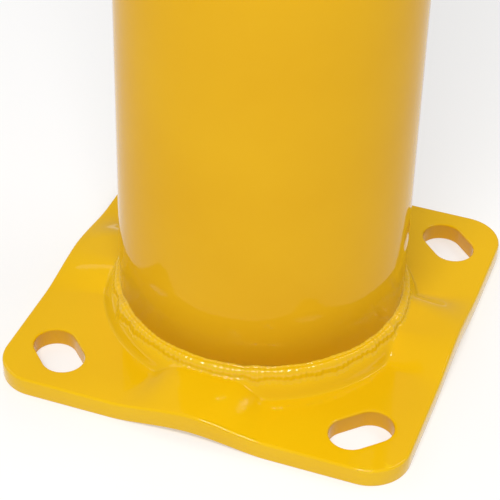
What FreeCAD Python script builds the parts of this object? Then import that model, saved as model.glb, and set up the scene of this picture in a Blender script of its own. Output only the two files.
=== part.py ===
"""Surface-mounted steel safety bollard, in millimetres.

A round steel post stands on a square pressed base plate and is welded to it all round.
The plate is pressed up into a round boss under the post and into four arms that run from
the boss to the middles of the sides, so it bears on four flat corner pads, each with a
slotted anchor hole. A moulded cap plugs the open top of the post and lifts off.

Frame: +Z is up along the post, the origin is on the floor under the post's axis, and the
plate's sides lie along X and Y.
"""
import FreeCAD, Part
import math
import os

Vec = FreeCAD.Vector
UP = Vec(0, 0, 1)

# Driving dimensions
plate_side = 203.2
plate_thickness = 9.5
plate_corner_radius = 20.0
plate_edge_radius = 1.0

boss_shoulder = 0.15
boss_flank_run = 4.1
boss_rise = 8.6
recess_inset = 8.0

arm_rise_at_edge = 4.4
arm_half_width_at_boss = 27.0
arm_half_width_at_edge = 34.0
arch_rise_at_edge = 3.9
arch_half_width_at_edge = 33.0

slot_inset = 25.4
slot_width = 20.6
slot_length = 31.8

post_outer_diameter = 141.3
post_wall = 4.8
post_top_height = 914.4
post_rim_radius = 0.8

weld_leg = 3.5
weld_bulge = 0.35

cap_overhang = 1.0
cap_flange_thickness = 5.0
cap_dome_rise = 9.0
cap_skirt_length = 38.0
cap_skirt_wall = 3.0
cap_fit_gap = 0.35
cap_seat_gap = 0.2
cap_rib_count = 3
cap_rib_height = 1.3
cap_rib_thickness = 3.0

# Sizes that follow from them
half_side = plate_side / 2
slot_centre = half_side - slot_inset
boss_top = plate_thickness + boss_rise
post_radius = post_outer_diameter / 2
bore_radius = post_radius - post_wall
boss_top_radius = post_radius + weld_leg + boss_shoulder
boss_foot_radius = boss_top_radius + boss_flank_run
recess_foot_radius = boss_foot_radius - recess_inset
recess_top_radius = recess_foot_radius - boss_flank_run
recess_height = boss_rise

# Room that helper solids run past the faces they cut or join
overrun = 3.0


def rounded_square(side, corner, bottom, height):
    """An upright prism with a square plan and rounded corners."""
    block = Part.makeBox(side, side, height, Vec(-side / 2, -side / 2, bottom))
    upright = [edge for edge in block.Edges if abs(edge.tangentAt(edge.FirstParameter).z) > 0.99]
    return block.makeFillet(corner, upright)


def bump_section(distance, base, half_width, rise, sink):
    """A closed cosine-shaped section across an arm, standing at a distance along +X.

    The curve starts and ends a little below its base level, so that it crosses the flat
    face there at a clear angle instead of grazing it.
    """
    steps = 12
    points = []
    for step in range(steps + 1):
        across = half_width * (2 * step / steps - 1)
        lift = (1 + math.cos(math.pi * across / half_width)) / 2
        points.append(Vec(distance, across, base - sink + (rise + sink) * lift))
    crest = Part.BSplineCurve()
    crest.interpolate(points)
    floor = base - sink - overrun
    low_start = Vec(distance, -half_width, floor)
    low_end = Vec(distance, half_width, floor)
    edges = [
        crest.toShape(),
        Part.makeLine(points[-1], low_end),
        Part.makeLine(low_end, low_start),
        Part.makeLine(low_start, points[0]),
    ]
    return Part.Wire(edges)


def arm(base, inner_half_width, outer_half_width, inner_rise, outer_rise):
    """One arm along +X, from under the post to just past the plate's side."""
    inner = boss_top_radius - 20.0
    outer = half_side + overrun

    def at(distance, near, far):
        """The value at a distance, straight from the boss's shoulder to the plate's side."""
        share = (distance - boss_top_radius) / (half_side - boss_top_radius)
        return near + (far - near) * share

    sections = []
    for distance in (inner, outer):
        half_width = at(distance, inner_half_width, outer_half_width)
        rise = at(distance, inner_rise, outer_rise)
        sections.append(bump_section(distance, base, half_width, rise, sink=0.6))
    return Part.makeLoft(sections, True, True)


def four_ways(shape):
    """The shape and its three copies, turned by quarters about the post's axis."""
    copies = []
    for quarter in range(4):
        copy = shape.copy()
        copy.rotate(Vec(0, 0, 0), UP, 90 * quarter)
        copies.append(copy)
    return copies


def anchor_slot(quarter):
    """A cutter for one corner's slot; its long axis lies across the plate's diagonal."""
    straight = (slot_length - slot_width) / 2
    radius = slot_width / 2
    top = boss_top + overrun
    low_left = Vec(-straight, -radius, -overrun)
    low_right = Vec(straight, -radius, -overrun)
    high_right = Vec(straight, radius, -overrun)
    high_left = Vec(-straight, radius, -overrun)
    outline = Part.Wire([
        Part.makeLine(low_left, low_right),
        Part.Arc(low_right, Vec(straight + radius, 0, -overrun), high_right).toShape(),
        Part.makeLine(high_right, high_left),
        Part.Arc(high_left, Vec(-straight - radius, 0, -overrun), low_left).toShape(),
    ])
    cutter = Part.Face(outline).extrude(Vec(0, 0, top + overrun))
    cutter.rotate(Vec(0, 0, 0), UP, 45 + 90)
    cutter.translate(Vec(slot_centre, slot_centre, 0))
    cutter.rotate(Vec(0, 0, 0), UP, 90 * quarter)
    return cutter


def on_outer_wall(point):
    """Whether a point lies on the plate's upright outer wall, round corners included."""
    straight_end = half_side - plate_corner_radius
    past_x = max(abs(point.x) - straight_end, 0)
    past_y = max(abs(point.y) - straight_end, 0)
    return abs(math.hypot(past_x, past_y) - plate_corner_radius) < 0.02


def top_rim(plate):
    """The edges round the plate's top, where it meets the outer wall."""
    rim = []
    for edge in plate.Edges:
        samples = edge.discretize(7)
        is_high = min(point.z for point in samples) > plate_thickness - 0.7
        if is_high and all(on_outer_wall(point) for point in samples):
            rim.append(edge)
    return rim


def base_plate():
    """The pressed plate: slab, boss and arms, hollowed below, with four slots."""
    slab = rounded_square(plate_side, plate_corner_radius, 0, plate_thickness)
    boss = Part.makeCone(boss_foot_radius, boss_top_radius, boss_rise, Vec(0, 0, plate_thickness), UP)
    top_arm = arm(plate_thickness, arm_half_width_at_boss, arm_half_width_at_edge,
                  boss_rise - 0.2, arm_rise_at_edge)
    outside = slab.fuse([boss] + four_ways(top_arm))
    envelope = rounded_square(plate_side, plate_corner_radius, 0, boss_top)
    outside = outside.common(envelope)

    recess = Part.makeCone(recess_foot_radius, recess_top_radius, recess_height, Vec(0, 0, 0), UP)
    under_boss = Part.makeBox(plate_side, plate_side, recess_height + 4 * overrun,
                              Vec(0, -half_side, -4 * overrun))
    arch = arm(0, arm_half_width_at_boss - 2, arch_half_width_at_edge,
               recess_height - 0.4, arch_rise_at_edge).common(under_boss)
    cutters = [recess] + four_ways(arch) + [anchor_slot(quarter) for quarter in range(4)]
    plate = outside.cut(cutters).removeSplitter()
    return plate.makeFillet(plate_edge_radius, top_rim(plate))


def post_tube():
    """The open round tube, standing on the boss, with eased edges at its rim."""
    height = post_top_height - boss_top
    outer = Part.makeCylinder(post_radius, height, Vec(0, 0, boss_top), UP)
    bore = Part.makeCylinder(bore_radius, height, Vec(0, 0, boss_top), UP)
    tube = outer.cut(bore)
    rims = [edge for edge in tube.Edges
            if edge.Closed and abs(edge.BoundBox.ZMin - post_top_height) < 0.01]
    return tube.makeFillet(post_rim_radius, rims)


def base_weld():
    """The fillet weld round the foot of the post, with a slightly full face."""
    foot = Vec(post_radius, 0, boss_top)
    toe = Vec(post_radius + weld_leg, 0, boss_top)
    top = Vec(post_radius, 0, boss_top + weld_leg)
    middle = (toe + top) * 0.5
    outward = Vec(1, 0, 1).normalize()
    full = middle + outward * weld_bulge
    section = Part.Wire([
        Part.makeLine(foot, toe),
        Part.Arc(toe, full, top).toShape(),
        Part.makeLine(top, foot),
    ])
    return Part.Face(section).revolve(Vec(0, 0, 0), UP, 360)


def post_cap():
    """The moulded cap: a domed flange on the rim and a hollow ribbed skirt in the bore."""
    seat = post_top_height + cap_seat_gap
    flange_radius = post_radius + cap_overhang
    flange = Part.makeCylinder(flange_radius, cap_flange_thickness, Vec(0, 0, seat), UP)

    edge_height = seat + cap_flange_thickness
    sphere_radius = (flange_radius ** 2 + cap_dome_rise ** 2) / (2 * cap_dome_rise)
    sphere_centre = Vec(0, 0, edge_height + cap_dome_rise - sphere_radius)
    ball = Part.makeSphere(sphere_radius, sphere_centre)
    above = Part.makeCylinder(flange_radius, cap_dome_rise + overrun, Vec(0, 0, edge_height), UP)
    dome = ball.common(above)

    rib_radius = bore_radius - cap_fit_gap
    skirt_radius = rib_radius - cap_rib_height
    skirt_bottom = seat - cap_skirt_length
    skirt = Part.makeCylinder(skirt_radius, cap_skirt_length, Vec(0, 0, skirt_bottom), UP)
    ribs = []
    for index in range(cap_rib_count):
        rib_bottom = skirt_bottom + cap_skirt_length * (index + 0.5) / cap_rib_count
        ribs.append(Part.makeCone(skirt_radius, rib_radius, cap_rib_thickness,
                                  Vec(0, 0, rib_bottom), UP))
    hollow = Part.makeCylinder(skirt_radius - cap_skirt_wall, cap_skirt_length + overrun,
                               Vec(0, 0, skirt_bottom - overrun), UP)
    return flange.fuse([dome, skirt] + ribs).cut(hollow).removeSplitter()


nodes = {
    "base_plate": base_plate(),
    "post_tube": post_tube(),
    "base_weld": base_weld(),
    "post_cap": post_cap(),
}

os.makedirs("parts", exist_ok=True)
for name, shape in nodes.items():
    shape.exportStep(f"parts/{name}.step")
    box = shape.BoundBox
    print(name, shape.isValid(), len(shape.Solids), round(shape.Volume),
          [round(value, 2) for value in (box.XMin, box.YMin, box.ZMin, box.XMax, box.YMax, box.ZMax)])
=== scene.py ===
# %% [markdown]
# # A surface-mounted steel safety bollard
#
# A bollard of this kind is a length of steel pipe welded to a pressed base plate, powder
# coated in one go, bolted to a floor through four slots and closed on top by a rubber cap.
# This lesson builds it piece by piece over a fixed engineering model: the model gives the
# sizes, and each cell replaces one plain solid by a mesh with the real object's softness,
# such as rounded edges and a rippled weld, and gives the coat painted shade in its corners.
#
# The first cell loads the model. Everything is in metres, Z is up, and the origin is on
# the floor under the post.

# %% Load the engineering model
import math

import bmesh
import bpy
from mathutils import Matrix, Vector, noise


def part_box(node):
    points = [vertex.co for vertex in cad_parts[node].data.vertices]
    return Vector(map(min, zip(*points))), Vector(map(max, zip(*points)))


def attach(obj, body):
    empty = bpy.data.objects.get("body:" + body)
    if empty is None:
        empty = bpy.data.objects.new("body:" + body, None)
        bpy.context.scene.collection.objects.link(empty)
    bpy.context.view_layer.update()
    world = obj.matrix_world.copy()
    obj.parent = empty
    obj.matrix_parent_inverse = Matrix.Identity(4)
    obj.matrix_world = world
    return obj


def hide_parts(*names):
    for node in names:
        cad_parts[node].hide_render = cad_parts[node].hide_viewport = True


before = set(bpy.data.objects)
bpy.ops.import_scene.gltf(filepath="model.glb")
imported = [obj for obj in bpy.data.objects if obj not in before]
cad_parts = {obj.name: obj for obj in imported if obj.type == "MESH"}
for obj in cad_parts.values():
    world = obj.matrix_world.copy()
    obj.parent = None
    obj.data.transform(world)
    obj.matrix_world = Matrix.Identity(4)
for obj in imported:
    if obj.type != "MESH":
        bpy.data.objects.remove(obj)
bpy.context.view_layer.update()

mm = 0.001
print("nodes:", sorted(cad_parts))

# %% [markdown]
# ## Sizes
#
# Lengths that the model holds are read from its boxes, so that this script follows it if
# the plate or the post changes. What a box can't tell, such as the sheet's thickness or
# how far the boss's foot spreads, is written here in millimetres.

# %% Sizes read from the model and chosen for the surface
plate_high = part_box("base_plate")[1]
post_low, post_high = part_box("post_tube")
weld_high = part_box("base_weld")[1]
cap_low, cap_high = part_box("post_cap")

half_side = plate_high.x
boss_top = post_low.z
post_radius = post_high.x
post_top = post_high.z
weld_radius = weld_high.x

plate_thickness = 9.5 * mm
corner_radius = 20.0 * mm
post_wall = 4.8 * mm
slot_centre = half_side - 25.4 * mm
slot_width = 20.6 * mm
slot_length = 31.8 * mm

boss_rise = boss_top - plate_thickness
boss_shoulder = post_radius + 1.8 * mm
boss_foot = weld_radius + 4.3 * mm
print("half side, post radius, boss rise:", half_side, post_radius, boss_rise)

# %% [markdown]
# ## Small helpers
#
# Every piece ends the same way: its mesh becomes an object at the origin, it is told which
# rigid body it moves with and which finish it has, and the plain solid it stands for is hidden. One
# helper does that, so no piece can miss a step. The shapes are nearly all turned ones, so
# a second helper spins a line of points round the axis, and a third gives the points of a
# rounded edge. The last eases a value from 0 to 1 with no kink at either end, which is how
# pressed sheet bends.

# %% Helpers for pieces, spun shapes and smooth blends
merge_distance = 0.001 * mm


def make_piece(name, shape, body, node, material):
    """Turn a bmesh into a smooth-shaded object that replaces one plain solid."""
    bmesh.ops.remove_doubles(shape, verts=shape.verts, dist=merge_distance)
    bmesh.ops.recalc_face_normals(shape, faces=shape.faces)
    mesh = bpy.data.meshes.new(name)
    shape.to_mesh(mesh)
    shape.free()
    for face in mesh.polygons:
        face.use_smooth = True
    piece = bpy.data.objects.new(name, mesh)
    bpy.context.scene.collection.objects.link(piece)
    mesh.materials.append(material)
    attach(piece, body)
    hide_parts(node)
    print(name, len(mesh.polygons), "faces")
    return piece


def spin_profile(points, steps):
    """Spin an open line of (radius, height) points once round the Z axis."""
    shape = bmesh.new()
    line = [shape.verts.new((radius, 0, height)) for radius, height in points]
    edges = [shape.edges.new(pair) for pair in zip(line, line[1:])]
    bmesh.ops.spin(shape, geom=line + edges, cent=(0, 0, 0), axis=(0, 0, 1),
                   angle=math.tau, steps=steps, use_merge=True)
    return shape


def quarter_round(radius, steps):
    """Pairs from (radius, 0) to (0, radius) that round off a sharp corner at (0, 0)."""
    turns = [math.pi / 2 * step / steps for step in range(steps + 1)]
    return [(radius * (1 - math.sin(turn)), radius * (1 - math.cos(turn))) for turn in turns]


def ease(value):
    """0 below 0, 1 above 1, and a smooth S between."""
    value = min(max(value, 0.0), 1.0)
    return value * value * (3 - 2 * value)


print("ease at a quarter, a half and three quarters:", ease(0.25), ease(0.5), ease(0.75))

# %% [markdown]
# ## Building blocks for the finishes
#
# A finish here is a small tree of shader nodes. Noise gives an uneven value, a map range
# turns it into a share or a roughness, and a mix blends two colours by that share. All of
# the noise reads the piece's own object coordinates, so a pattern stays on its piece when
# the piece moves. Each block is one helper that adds a node and hands back its output.

# %% Shader node helpers
def add_noise(nodes, links, coordinates, scale, detail, roughness=0.5):
    """A noise texture on the piece's own object coordinates."""
    texture = nodes.new("ShaderNodeTexNoise")
    texture.inputs["Scale"].default_value = scale
    texture.inputs["Detail"].default_value = detail
    texture.inputs["Roughness"].default_value = roughness
    links.new(coordinates.outputs["Object"], texture.inputs["Vector"])
    return texture.outputs["Fac"]


def add_range(nodes, links, source, low_in, high_in, low_out, high_out):
    """A map range node that turns one span of values into another, clamped."""
    remap = nodes.new("ShaderNodeMapRange")
    remap.inputs["From Min"].default_value = low_in
    remap.inputs["From Max"].default_value = high_in
    remap.inputs["To Min"].default_value = low_out
    remap.inputs["To Max"].default_value = high_out
    links.new(source, remap.inputs["Value"])
    return remap.outputs["Result"]


def add_mix(nodes, links, factor, first, second):
    """A colour mix; either colour may be a value or another node's output."""
    mix = nodes.new("ShaderNodeMix")
    mix.data_type = "RGBA"
    links.new(factor, mix.inputs["Factor"])
    for socket, colour in ((mix.inputs["A"], first), (mix.inputs["B"], second)):
        if isinstance(colour, tuple):
            socket.default_value = colour
        else:
            links.new(colour, socket)
    return mix.outputs["Result"]


def add_maths(nodes, links, operation, first, second=0.0):
    """A maths node on a source and a second source or a plain number."""
    maths = nodes.new("ShaderNodeMath")
    maths.operation = operation
    links.new(first, maths.inputs[0])
    if isinstance(second, float):
        maths.inputs[1].default_value = second
    else:
        links.new(second, maths.inputs[1])
    return maths.outputs["Value"]


def add_bump(nodes, links, height, strength, distance):
    """A bump node that turns a height into small dents in the surface's shading."""
    bump = nodes.new("ShaderNodeBump")
    bump.inputs["Strength"].default_value = strength
    bump.inputs["Distance"].default_value = distance
    links.new(height, bump.inputs["Height"])
    return bump.outputs["Normal"]


print("shader blocks: noise, range, mix, maths, bump")

# %% [markdown]
# ## Painted shade on the slots' walls
#
# The slots' walls are deep and upright and get little light, so the shader paints them
# browner and darker: this is painted shade. It finds them by two signs at once: the
# place is near a slot's centre, and the face stands upright. Taking the absolute value of X
# and Y folds the four corners on to one, so a single distance serves all the slots.

# %% Mask for the slots' walls
slot_reach = 20 * mm
slot_fade = 22 * mm
sloping_tilt = 0.75
upright_tilt = 0.25


def slot_wall_shade_mask(nodes, links, coordinates, geometry):
    """1 on upright faces near a slot's centre, where the walls get painted shade, else 0."""
    place = nodes.new("ShaderNodeSeparateXYZ")
    links.new(coordinates.outputs["Object"], place.inputs["Vector"])
    squares = []
    for axis in ("X", "Y"):
        from_middle = add_maths(nodes, links, "ABSOLUTE", place.outputs[axis])
        from_slot = add_maths(nodes, links, "SUBTRACT", from_middle, slot_centre)
        squares.append(add_maths(nodes, links, "POWER", from_slot, 2.0))
    distance = add_maths(nodes, links, "ADD", squares[0], squares[1])
    distance = add_maths(nodes, links, "SQRT", distance)
    near = add_range(nodes, links, distance, slot_fade, slot_reach, 0.0, 1.0)
    facing = nodes.new("ShaderNodeSeparateXYZ")
    links.new(geometry.outputs["Normal"], facing.inputs["Vector"])
    tilt = add_maths(nodes, links, "ABSOLUTE", facing.outputs["Z"])
    upright = add_range(nodes, links, tilt, sloping_tilt, upright_tilt, 0.0, 1.0)
    return add_maths(nodes, links, "MULTIPLY", near, upright)


print("slot walls lie within", round(slot_reach / mm), "mm of a slot's centre")

# %% [markdown]
# ## Finish: gloss powder coat
#
# Powder coat is a plastic film baked on to the steel. It is one colour, but never a flat
# one: its tone wanders a little at random. The colour also carries painted light: painted
# shade darkens the corners and creases, and a painted highlight makes the edges paler. Its
# surface has a very fine orange peel, and handling leaves faint dull scuffs. Each of those
# is a noise or a curvature at its own scale, and they drive the colour, the roughness and
# the bump of one Principled shader.
# One recipe serves the plate, the post and the weld, with other numbers. The post's yellow
# is darker and more orange than the plate's: that is painted shade, the same paint darkened
# because the upright pipe gets less light. The post's film is also the duller one: it is
# given a low index of refraction, because a tall shiny cylinder would otherwise mirror the
# white floor all round and lose its own colour.

# %% Powder coat material
peel_distance = 0.05 * mm


def tinted(colour, red_share, green_share, blue_share):
    """A colour scaled channel by channel, with full opacity."""
    red, green, blue = colour
    return (red_share * red, green_share * green, blue_share * blue, 1)


def powder_coat(name, colour, peel_strength, ior):
    """Gloss safety yellow; more green makes it more lemon, less makes it more orange."""
    material = bpy.data.materials.new(name)
    material.use_nodes = True
    nodes = material.node_tree.nodes
    links = material.node_tree.links
    shader = nodes["Principled BSDF"]
    coordinates = nodes.new("ShaderNodeTexCoord")
    geometry = nodes.new("ShaderNodeNewGeometry")
    curvature = geometry.outputs["Pointiness"]
    full = tinted(colour, 1, 1, 1)
    # The darker tone serves both the random tone wander and the painted shade in corners and
    # creases.
    deeper_tone_and_shade = tinted(colour, 0.92, 0.86, 0.7)
    # The paler tone is a painted highlight on convex edges.
    edge_highlight = tinted(colour, 1.07, 1.15, 1.3)
    # The browner tone is painted shade on the slots' walls.
    slot_shade = tinted(colour, 0.84, 0.72, 1)

    cloud = add_noise(nodes, links, coordinates, scale=18, detail=3)
    cloud_share = add_range(nodes, links, cloud, 0.35, 0.75, 0.0, 0.45)
    coat = add_mix(nodes, links, cloud_share, full, deeper_tone_and_shade)
    # Painted highlight: convex edges, found by curvature, are made paler.
    edge_highlight_share = add_range(nodes, links, curvature, 0.52, 0.60, 0.0, 0.7)
    coat = add_mix(nodes, links, edge_highlight_share, coat, edge_highlight)
    # Painted shade: hollows and creases, found by curvature, are made darker.
    crease_shade_share = add_range(nodes, links, curvature, 0.49, 0.42, 0.0, 0.8)
    coat = add_mix(nodes, links, crease_shade_share, coat, deeper_tone_and_shade)
    # Painted shade: the slots' upright walls are made browner and darker.
    slot_shade_share = slot_wall_shade_mask(nodes, links, coordinates, geometry)
    coat = add_mix(nodes, links, slot_shade_share, coat, slot_shade)
    links.new(coat, shader.inputs["Base Color"])

    scuff = add_noise(nodes, links, coordinates, scale=60, detail=6, roughness=0.65)
    gloss = add_range(nodes, links, scuff, 0.45, 0.75, 0.05, 0.11)
    links.new(gloss, shader.inputs["Roughness"])
    peel = add_noise(nodes, links, coordinates, scale=420, detail=2)
    ripple = add_noise(nodes, links, coordinates, scale=70, detail=2)
    height = add_maths(nodes, links, "ADD", peel, ripple)
    links.new(add_bump(nodes, links, height, peel_strength, peel_distance), shader.inputs["Normal"])
    shader.inputs["IOR"].default_value = ior
    print(name, "uses", len(nodes), "nodes")
    return material


plate_coat = powder_coat("plate_coat", (0.790, 0.474, 0.003), peel_strength=0.35, ior=1.34)
# The post's darker, more orange yellow is painted shade: the same paint, darkened because the
# upright pipe gets less light.
shaded_post_coat = powder_coat("shaded_post_coat", (0.725, 0.402, 0.010), peel_strength=0.35, ior=1.18)
weld_coat = powder_coat("weld_coat", (0.800, 0.490, 0.004), peel_strength=0.6, ior=1.5)

# %% [markdown]
# ## Finish: moulded rubber
#
# The cap is black rubber from a mould: dull, slightly uneven, with a fine grain. Dust makes
# it a little greyer in broad patches, and duller in the same places, so one noise drives
# both the colour and the roughness.

# %% Cap rubber material
clean_rubber = (0.012, 0.012, 0.013, 1)
dusty_rubber = (0.030, 0.029, 0.028, 1)
grain_distance = 0.1 * mm


def moulded_rubber(name):
    """Satin black rubber with a fine mould grain."""
    material = bpy.data.materials.new(name)
    material.use_nodes = True
    nodes = material.node_tree.nodes
    links = material.node_tree.links
    shader = nodes["Principled BSDF"]
    coordinates = nodes.new("ShaderNodeTexCoord")
    dust = add_noise(nodes, links, coordinates, scale=25, detail=5)
    dust_share = add_range(nodes, links, dust, 0.45, 0.8, 0.0, 0.5)
    colour = add_mix(nodes, links, dust_share, clean_rubber, dusty_rubber)
    links.new(colour, shader.inputs["Base Color"])
    sheen = add_range(nodes, links, dust, 0.3, 0.8, 0.42, 0.62)
    links.new(sheen, shader.inputs["Roughness"])
    grain = add_noise(nodes, links, coordinates, scale=900, detail=2)
    links.new(add_bump(nodes, links, grain, 0.4, grain_distance), shader.inputs["Normal"])
    print(name, "uses", len(nodes), "nodes")
    return material


rubber = moulded_rubber("cap_rubber")

# %% [markdown]
# ## The pressed plate: its outline
#
# The plate is square with round corners outside, but round in the middle, where the boss
# stands. A spun disc has clean rings round the boss, so we spin a disc and then push its
# rim out to the square. The distance from the centre to the rounded square, along any
# direction, is all that this needs, and asking for it a little inside the rim gives the
# inner rings their shape too. Their corners grow rounder the further in they lie, until
# they are circles.

# %% Distance to the rounded square
edge_band = 2 * mm
corner_growth = 2.2


def reach(angle, inset):
    """Distance from the axis to the plate's outline, moved in by inset, at an angle."""
    side = half_side - inset
    corner = corner_radius - min(inset, edge_band) + corner_growth * max(inset - edge_band, 0)
    corner = min(corner, side)
    across = abs(math.cos(angle))
    along = abs(math.sin(angle))
    if across < along:
        across, along = along, across
    straight_end = side - corner
    if side * along / across <= straight_end:
        return side / across
    middle = straight_end * (across + along)
    return middle + math.sqrt(max(middle ** 2 - 2 * straight_end ** 2 + corner ** 2, 0))


print("reach to a side and to a corner:", reach(0, 0), round(reach(math.pi / 4, 0), 4))

# %% [markdown]
# ## The pressed plate: its relief
#
# The press lifts the sheet in two ways. A round boss stands under the post and rolls over,
# steeper and steeper, down to its foot. Four arms run from it to the middles of the sides.
# They sink towards the edge, and their flanks are steep at the boss and gentle at the edge.
# The height at a place is the higher of the two, with the crease between them filled, and
# the foot of the relief runs out softly on to the flat corner pads. Each shape is let run
# below zero outside itself, so that the filling dies away there and the pads stay flat.

# %% Height of the press work at a place
arm_rise_at_edge = 4.5 * mm
arch_rise_at_edge = 3.9 * mm
arm_half_width = 27.5 * mm
flank_slope_at_boss = 0.84
flank_slope_loss = 0.50
arm_overrun = 1.1
crest_bend = 6.0 * mm
root_bend = 3.0 * mm
foot_bend = 2.6 * mm
foot_bend_gain = 1.6 * mm


def soft_higher(first, second, softness):
    """The higher of two heights, with the crease between them filled."""
    gap = max(softness - abs(first - second), 0.0) / softness
    return max(first, second) + gap * gap * softness * 0.25


def arm_height(along, across, edge_rise):
    """Lift of one arm at a distance along it and to its side."""
    share = min(max((along - weld_radius) / (half_side - weld_radius), 0.0), arm_overrun)
    crest = edge_rise + (boss_rise - edge_rise) * (1 - share)
    slope = flank_slope_at_boss - flank_slope_loss * share
    flank = slope * (arm_half_width - abs(across))
    return -soft_higher(-crest, -flank, crest_bend)


def boss_height(radius, inset):
    """Lift of the round boss, which rolls over from beside the post to its foot."""
    shoulder = boss_shoulder - inset
    foot = boss_foot - inset
    share = max((radius - shoulder) / (foot - shoulder), 0.0)
    return boss_rise * (1 - share * share)


def press_height(x, y, edge_rise, boss_inset=0.0):
    """Lift of the sheet at a place on the plate."""
    radius = math.hypot(x, y)
    boss = boss_height(radius, boss_inset)
    along, across = (abs(x), y) if abs(x) > abs(y) else (abs(y), x)
    arm = arm_height(along, across, edge_rise)
    relief = soft_higher(boss, arm, root_bend)
    outward = ease((radius - boss_foot) / (half_side - boss_foot))
    relief = soft_higher(relief, 0.0, foot_bend + foot_bend_gain * outward)
    return min(relief, boss_rise)


print("lift at the axis and at a side:", round(press_height(0, 0, arm_rise_at_edge), 5),
      round(press_height(half_side, 0, arm_rise_at_edge), 5))

# %% [markdown]
# ## The pressed plate: the mesh
#
# The profile runs from the middle of the top, out over the rounded top edge, down the
# side, round the lower edge and back to the middle of the underside. Rings are close
# together where the sheet bends and far apart where it is flat or hidden by the post.

# %% Profile of the plate
edge_round = 1.3 * mm
lower_round = 0.6 * mm
round_zone = boss_foot + 2.5 * mm


def evenly(start, end, count):
    """Evenly spaced values from start to end, both included."""
    return [start + (end - start) * k / count for k in range(count + 1)]


def plate_rings():
    """Radii of the rings on a face, from the axis to the start of the edge's round."""
    hidden = [share * post_radius for share in (0.0, 0.25, 0.5, 0.75, 0.9)]
    bend = evenly(boss_shoulder, round_zone, 24)
    outer = evenly(round_zone, half_side - edge_round - 0.2 * mm, 22)
    return hidden + bend + outer[1:]


def plate_profile():
    """(radius, height) points of the flat disc, before it is pushed square and pressed."""
    rings = plate_rings()
    profile = [(radius, plate_thickness) for radius in rings]
    for out, drop in quarter_round(edge_round, 5):
        profile.append((half_side - out, plate_thickness - drop))
    for out, rise in reversed(quarter_round(lower_round, 3)):
        profile.append((half_side - out, rise))
    return profile + [(radius, 0.0) for radius in reversed(rings)]


print("profile points:", len(plate_profile()))

# %% [markdown]
# Spinning that profile gives a plain disc. Each vertex is then moved twice: outwards, from
# its ring to the rounded square, and upwards, by the height of the press work there. The
# underside gets a relief of its own, with a smaller boss, and what lies between the faces
# is moved in proportion. The vertex on the axis has no direction to move in, so it only
# goes up.

# %% Spin the plate and push it into shape
plate_steps = 640
recess_inset = 6 * mm
on_axis = 1e-9


def press_vertex(vertex):
    """Move one vertex of the disc out to the square and up by the press work."""
    radius = math.hypot(vertex.co.x, vertex.co.y)
    if radius < on_axis:
        vertex.co.z += boss_rise
        return
    angle = math.atan2(vertex.co.y, vertex.co.x)
    share = ease((radius - round_zone) / (half_side - edge_band - round_zone))
    wanted = radius + (reach(angle, half_side - radius) - radius) * share
    vertex.co.x *= wanted / radius
    vertex.co.y *= wanted / radius
    upper = press_height(vertex.co.x, vertex.co.y, arm_rise_at_edge)
    lower = press_height(vertex.co.x, vertex.co.y, arch_rise_at_edge, recess_inset)
    vertex.co.z += lower + (upper - lower) * vertex.co.z / plate_thickness


def shape_plate():
    """The pressed plate with no slots yet."""
    shape = spin_profile(plate_profile(), plate_steps)
    bmesh.ops.remove_doubles(shape, verts=shape.verts, dist=merge_distance)
    for vertex in shape.verts:
        press_vertex(vertex)
    return shape


plate = make_piece("pressed_plate", shape_plate(), "post", "base_plate", plate_coat)

# %% [markdown]
# ## The pressed plate: its slots
#
# Each slot is punched through a flat pad, and the coat rounds its rim. A cutter with the
# slot's outline, flared where it passes the faces, makes the hole and the round rim in one
# Boolean cut. The cutter is a stack of loops: each level is the same outline, grown by the
# flare at its height, and bridge_loops joins each level to the next.

# %% Slot cutter
rim_round = 0.9 * mm
rim_steps = 4
arc_steps = 24
below_plate = 3 * mm
above_plate = 6 * mm
slot_turn = 135


def slot_outline(growth, height):
    """Points of one slot's outline at a height, grown outwards."""
    radius = slot_width / 2 + growth
    straight = (slot_length - slot_width) / 2
    points = []
    for end in (1, -1):
        for step in range(arc_steps + 1):
            turn = math.pi * (step / arc_steps - 0.5)
            x = end * (straight + radius * math.cos(turn))
            y = end * radius * math.sin(turn)
            points.append(Vector((x, y, height)))
    return points


def slot_levels():
    """(growth, height) of the cutter's loops, from below the plate to above it."""
    flare = quarter_round(rim_round, rim_steps)
    levels = [(rim_round, -below_plate)] + flare
    levels += [(growth, plate_thickness - drop) for growth, drop in reversed(flare)]
    return levels + [(rim_round, plate_thickness + above_plate)]


def slot_cutter(quarter):
    """A closed cutter for one corner, with flared rims at both faces."""
    shape = bmesh.new()
    loops = []
    for growth, height in slot_levels():
        ring = [shape.verts.new(point) for point in slot_outline(growth, height)]
        loops.append([shape.edges.new(pair) for pair in zip(ring, ring[1:] + ring[:1])])
    for lower, upper in zip(loops, loops[1:]):
        bmesh.ops.bridge_loops(shape, edges=lower + upper)
    for end in (loops[0], loops[-1]):
        bmesh.ops.contextual_create(shape, geom=end)
    place = Matrix.Rotation(math.pi / 2 * quarter, 4, "Z")
    place @= Matrix.Translation((slot_centre, slot_centre, 0))
    place @= Matrix.Rotation(math.radians(slot_turn), 4, "Z")
    bmesh.ops.transform(shape, matrix=place, verts=shape.verts)
    bmesh.ops.recalc_face_normals(shape, faces=shape.faces)
    return shape


print("levels in a cutter:", len(slot_levels()))

# %% [markdown]
# The four cutters are joined into one tool, so that a single Boolean modifier cuts all the
# slots. The exact solver is slower than the others, but it keeps the rims clean. The cut
# mesh then takes the place of the plate's mesh, and the tool is thrown away.

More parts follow.
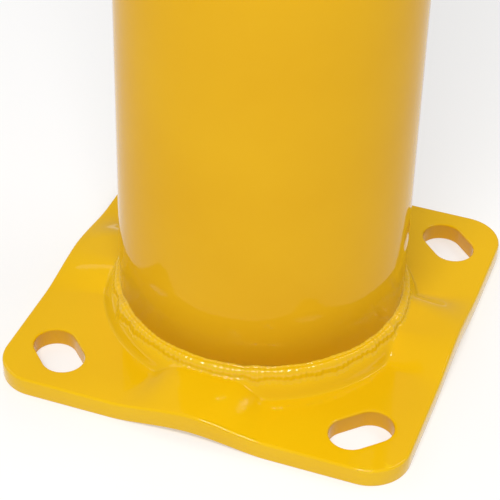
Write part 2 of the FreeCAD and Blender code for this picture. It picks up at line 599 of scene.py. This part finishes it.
# %% Cut the slots
def joined_cutters():
    """All four slot cutters as one mesh object."""
    cutters = bmesh.new()
    for quarter in range(4):
        cutter = slot_cutter(quarter)
        part = bpy.data.meshes.new("slot_cutter")
        cutter.to_mesh(part)
        cutter.free()
        cutters.from_mesh(part)
        bpy.data.meshes.remove(part)
    mesh = bpy.data.meshes.new("slot_cutters")
    cutters.to_mesh(mesh)
    cutters.free()
    tool = bpy.data.objects.new("slot_cutters", mesh)
    bpy.context.scene.collection.objects.link(tool)
    return tool


def cut_slots(piece):
    """Cut the four slots out of the plate and keep the result as its mesh."""
    tool = joined_cutters()
    cut = piece.modifiers.new("slots", "BOOLEAN")
    cut.operation = "DIFFERENCE"
    cut.solver = "EXACT"
    cut.object = tool
    graph = bpy.context.evaluated_depsgraph_get()
    result = bpy.data.meshes.new_from_object(piece.evaluated_get(graph))
    piece.modifiers.clear()
    spare_meshes = (piece.data, tool.data)
    piece.data = result
    bpy.data.objects.remove(tool)
    for mesh in spare_meshes:
        bpy.data.meshes.remove(mesh)
    print("plate with slots:", len(result.polygons), "faces")


cut_slots(plate)

# %% [markdown]
# ## The post
#
# The post is plain pipe: a spun wall with eased edges at its rim. It stands on the boss, so
# its lower end is a plain ring under the weld. The wall has rings up its height, because
# one face from foot to rim would be a long sliver, which shades and unwraps badly.

# %% Spin the post
post_steps = 256
post_levels = 24
rim_ease = 0.8 * mm
rim_ease_steps = 4


def shape_post():
    """The open pipe with eased edges at its rim."""
    bore = post_radius - post_wall
    heights = evenly(boss_top, post_top - rim_ease, post_levels)
    rim = quarter_round(rim_ease, rim_ease_steps)
    profile = [(post_radius, height) for height in heights]
    profile += [(post_radius - inward, post_top - drop) for drop, inward in rim[1:]]
    profile += [(bore + outward, post_top - drop) for outward, drop in rim]
    profile += [(bore, height) for height in reversed(heights[:-1])]
    return spin_profile(profile + profile[:1], post_steps)


make_piece("post_pipe", shape_post(), "post", "post_tube", shaded_post_coat)

# %% [markdown]
# ## The weld: its section and its swell
#
# A hand-laid weld is a rope of frozen puddles. Its section is full and round, and the coat
# fills the corners where it meets the post and the plate. Going round the post, it swells
# and thins slowly, it is lumpy at the scale of a puddle, and fine ripples cross it. At one
# place the end of the run laps over its start, which leaves a hump with a dip beside it.

# %% The bead's section and how it varies
leg_out = weld_radius - post_radius
leg_up = 4.4 * mm
bead_blend = 0.9 * mm
blend_steps = 4
crown_steps = 11
restart = math.radians(-138)
restart_width = math.radians(3.2)
wander_share = 0.20
lump_share = 0.30
ripple_share = 0.045
ripple_count = 150


def bead_section():
    """Points of the bead's section: (distance from the pipe, height over the plate)."""
    corner = quarter_round(bead_blend, blend_steps)
    points = [(out, leg_up + up) for up, out in corner]
    for step in range(1, crown_steps + 1):
        turn = math.pi / 2 * step / crown_steps
        out = bead_blend + (leg_out - bead_blend) * math.sin(turn)
        points.append((out, bead_blend + (leg_up - bead_blend) * math.cos(turn)))
    return points + [(leg_out + out, up) for up, out in corner[1:]]


def bead_swell(angle):
    """How much fuller or leaner the bead is at an angle, as a share of its size."""
    place = Vector((math.cos(angle), math.sin(angle), 0))
    wander = noise.noise(place * 3.1)
    lump = noise.noise(place * 11.0 + Vector((4, 1, 7)))
    ripple = math.sin(angle * ripple_count + 5 * noise.noise(place * 6))
    past = (angle - restart) / restart_width
    overlap = 0.45 * math.exp(-past * past) - 0.3 * math.exp(-(past + 2.2) ** 2)
    return wander_share * wander + lump_share * lump + ripple_share * ripple + overlap


print("section points:", len(bead_section()), "swell at the restart:", round(bead_swell(restart), 2))

# %% [markdown]
# ## The weld: the mesh
#
# We spin the section and then change each vertex by the swell at its angle: mostly outwards,
# and half as much upwards. The bead is laid on the plate's own relief, so its toe follows
# the boss where that rolls over. Its back is buried a little in the post and its underside
# in the plate, so that no gap shows.

# %% Spin the bead and ripple it
weld_steps = 1080
buried = 0.5 * mm
barely = 0.01 * mm


def lay_vertex(vertex):
    """Swell one vertex of the spun bead and set it down on the plate's relief."""
    radius = math.hypot(vertex.co.x, vertex.co.y)
    out = radius - post_radius
    up = vertex.co.z - boss_top
    swell = bead_swell(math.atan2(vertex.co.y, vertex.co.x))
    if out > barely:
        wanted = post_radius + out * (1 + swell * min(out / leg_out, 1.0))
        vertex.co.x *= wanted / radius
        vertex.co.y *= wanted / radius
    if up > barely:
        up *= 1 + 0.5 * swell
    lift = press_height(vertex.co.x, vertex.co.y, arm_rise_at_edge)
    vertex.co.z = plate_thickness + lift + up


def shape_weld():
    """The fillet bead round the foot of the post."""
    section = [(-buried, leg_up + bead_blend)] + bead_section()
    section += [(leg_out + bead_blend, -buried), (-buried, -buried)]
    profile = [(post_radius + out, boss_top + up) for out, up in section]
    shape = spin_profile(profile + profile[:1], weld_steps)
    for vertex in shape.verts:
        lay_vertex(vertex)
    return shape


make_piece("weld_bead", shape_weld(), "post", "base_weld", weld_coat)

# %% [markdown]
# ## The cap
#
# The cap is one rubber moulding. A domed flange with a soft edge sits on the rim, and a
# hollow skirt with three wiper ribs fills the bore. It is spun in one closed profile, from
# the crown down the outside and back up the hollow, and each part of the profile has its
# own function.

# %% Profile of the cap
cap_seat = post_top + 0.2 * mm
flange_top = cap_seat + 5 * mm
flange_soft = 1.8 * mm
flange_lip = 0.6 * mm
rib_radius = post_radius - post_wall - 0.35 * mm
rib_count = 3
rib_root = 3.2 * mm
rib_shoulder = 3 * mm
rib_tip = 2.6 * mm
rib_tip_ease = 0.2 * mm
skirt_radius = rib_radius - 1.3 * mm
skirt_root = 0.8 * mm
hollow_radius = skirt_radius - 3 * mm
hollow_root = 2 * mm
mouth_ease = 0.6 * mm


def flange_profile():
    """From the crown over the dome and the soft edge to the underside of the flange."""
    flange_radius = cap_high.x
    crown = cap_high.z
    dome_steps = 11
    points = [(0.0, crown)]
    for step in range(1, dome_steps):
        share = step / dome_steps
        points.append((share * flange_radius, crown - (crown - flange_top) * share ** 2))
    for inward, drop in quarter_round(flange_soft, 4):
        points.append((flange_radius - inward, flange_top - drop))
    points += [(flange_radius, cap_seat + flange_lip), (flange_radius - flange_lip, cap_seat)]
    return points + [(skirt_radius + skirt_root, cap_seat), (skirt_radius, cap_seat - skirt_root)]


def rib_profile(rib):
    """One wiper rib, flat on top and sloping below, so that it goes in more easily."""
    start = cap_low.z + (cap_seat - cap_low.z) * (rib + 0.5) / rib_count
    return [(skirt_radius, start + rib_root), (rib_radius - rib_tip_ease, start + rib_shoulder),
            (rib_radius, start + rib_tip), (skirt_radius, start)]


def hollow_profile():
    """Round the mouth of the skirt, up the hollow and in to the axis."""
    mouth = cap_low.z
    return [(skirt_radius, mouth + mouth_ease), (skirt_radius - mouth_ease, mouth),
            (hollow_radius + mouth_ease, mouth), (hollow_radius, mouth + mouth_ease),
            (hollow_radius, cap_seat - hollow_root), (hollow_radius - hollow_root, cap_seat),
            (0.0, cap_seat)]


print("flange, rib and hollow points:",
      len(flange_profile()), len(rib_profile(0)), len(hollow_profile()))

# %% [markdown]
# The ribs are listed from the top one down, because the profile runs down the outside.

# %% Spin the cap
cap_steps = 192


def shape_cap():
    """The moulded cap as one closed profile."""
    profile = flange_profile()
    for rib in reversed(range(rib_count)):
        profile += rib_profile(rib)
    return spin_profile(profile + hollow_profile(), cap_steps)


make_piece("moulded_cap", shape_cap(), "cap", "post_cap", rubber)

# %% [markdown]
# ## The floor
#
# The bollard stands on a plain white floor that reaches far behind it in every view. The
# floor is lit a little from within, like a light table, which keeps it white while the
# lamps stay weak enough not to bleach the yellow.

# %% White floor
floor_size = 40.0


def studio_floor():
    """A broad plain floor under the plate that glows a little."""
    shape = bmesh.new()
    bmesh.ops.create_grid(shape, x_segments=1, y_segments=1, size=floor_size)
    mesh = bpy.data.meshes.new("floor")
    shape.to_mesh(mesh)
    shape.free()
    floor = bpy.data.objects.new("floor", mesh)
    bpy.context.scene.collection.objects.link(floor)
    material = bpy.data.materials.new("floor_white")
    material.use_nodes = True
    shader = material.node_tree.nodes["Principled BSDF"]
    shader.inputs["Base Color"].default_value = (0.55, 0.55, 0.55, 1)
    shader.inputs["Roughness"].default_value = 0.9
    shader.inputs["Specular IOR Level"].default_value = 0.1
    shader.inputs["Emission Color"].default_value = (1, 1, 1, 1)
    shader.inputs["Emission Strength"].default_value = 0.40
    mesh.materials.append(material)
    return floor


floor = studio_floor()
print("floor reaches", max(vertex.co.x for vertex in floor.data.vertices), "m each way")

# %% [markdown]
# ## The light
#
# Four soft lights and a bright room give the broad, even look of a product table. The key
# light is a wide, strong box high in front: its mirror image is what the gloss coat shows
# as sparkles on the weld and as the pale patch on the front arm. A box at the right and a
# large one at the left lighten the sides. A low one behind lightens the far pads, and it is
# kept out of reflections, because its image would lie across a flat pad as a hard band. No
# light can be seen by the camera itself.
#
# Each light is placed by an azimuth, an elevation and a distance from the plate, which is
# how one would walk a lamp round a table. Its brightness is given per area, so a larger
# box gives more light but doesn't look brighter in a reflection.

# %% Lights
def direction_from(azimuth, elevation):
    """Unit vector towards a place at so many degrees round from the front and up."""
    around = math.radians(azimuth)
    above = math.radians(elevation)
    return Vector((math.sin(around) * math.cos(above),
                   -math.cos(around) * math.cos(above),
                   math.sin(above)))


def soft_light(name, azimuth, elevation, distance, width, height, radiance):
    """A rectangular soft light that faces the plate, with an even surface brightness."""
    data = bpy.data.lights.new(name, "AREA")
    data.shape = "RECTANGLE"
    data.size = width
    data.size_y = height
    data.energy = radiance * math.pi * width * height
    light = bpy.data.objects.new(name, data)
    bpy.context.scene.collection.objects.link(light)
    direction = direction_from(azimuth, elevation)
    light.location = direction * distance
    light.rotation_euler = direction.to_track_quat("Z", "Y").to_euler()
    light.visible_camera = False
    print(name, round(data.energy, 2), "W")
    return light


soft_light("front_key", azimuth=10, elevation=56, distance=2.2,
           width=0.95, height=0.42, radiance=26.5)
soft_light("right_box", azimuth=118, elevation=52, distance=1.8,
           width=0.80, height=0.60, radiance=3)
soft_light("left_fill", azimuth=-95, elevation=40, distance=2.6,
           width=1.4, height=1.2, radiance=1.3)
back_fill = soft_light("back_fill", azimuth=205, elevation=16, distance=3.2,
                       width=1.0, height=1.4, radiance=3.2)
back_fill.visible_glossy = False

# %% [markdown]
# ## The room
#
# The room is a plain grey-white all round. It fills the shadows, and it is also what the
# coat mirrors wherever it doesn't mirror a lamp or the floor.

# %% Room light
room_brightness = 0.36

world = bpy.data.worlds.new("room")
bpy.context.scene.world = world
world.use_nodes = True
room = world.node_tree.nodes["Background"]
room.inputs["Color"].default_value = (1, 1, 1, 1)
room.inputs["Strength"].default_value = room_brightness
print("room brightness:", room_brightness)

# %% [markdown]
# ## The camera
#
# The view is from above and to the right of the front side, close to the plate, through a
# long lens, with a slight roll. It is set up like a tripod: a direction, a distance in that
# direction, and a small slide sideways and up, all in multiples of half the plate's side.

# %% Camera
def tripod_camera(azimuth, elevation, roll, distance, slide_right, slide_up, lens):
    """A camera that looks at the plate from a direction, slid across its own view."""
    back = direction_from(azimuth, elevation)
    right = (-back).cross(Vector((0, 0, 1))).normalized()
    up = right.cross(-back)
    turn = math.radians(roll)
    right, up = (right * math.cos(turn) + up * math.sin(turn),
                 up * math.cos(turn) - right * math.sin(turn))
    place = (back * distance + right * slide_right + up * slide_up) * half_side
    facing = Matrix((right, up, back)).transposed().to_4x4()
    data = bpy.data.cameras.new("camera")
    data.lens = lens
    data.sensor_width = 36
    data.clip_end = 50
    camera = bpy.data.objects.new("camera", data)
    bpy.context.scene.collection.objects.link(camera)
    camera.matrix_world = Matrix.Translation(place) @ facing
    bpy.context.scene.camera = camera
    return camera


camera = tripod_camera(azimuth=19.14, elevation=37.70, roll=1.53, distance=8.939,
                       slide_right=-0.0555, slide_up=0.2914, lens=129.4)
bpy.context.scene.view_settings.view_transform = "Standard"
print("camera at:", tuple(round(value, 3) for value in camera.matrix_world.translation))
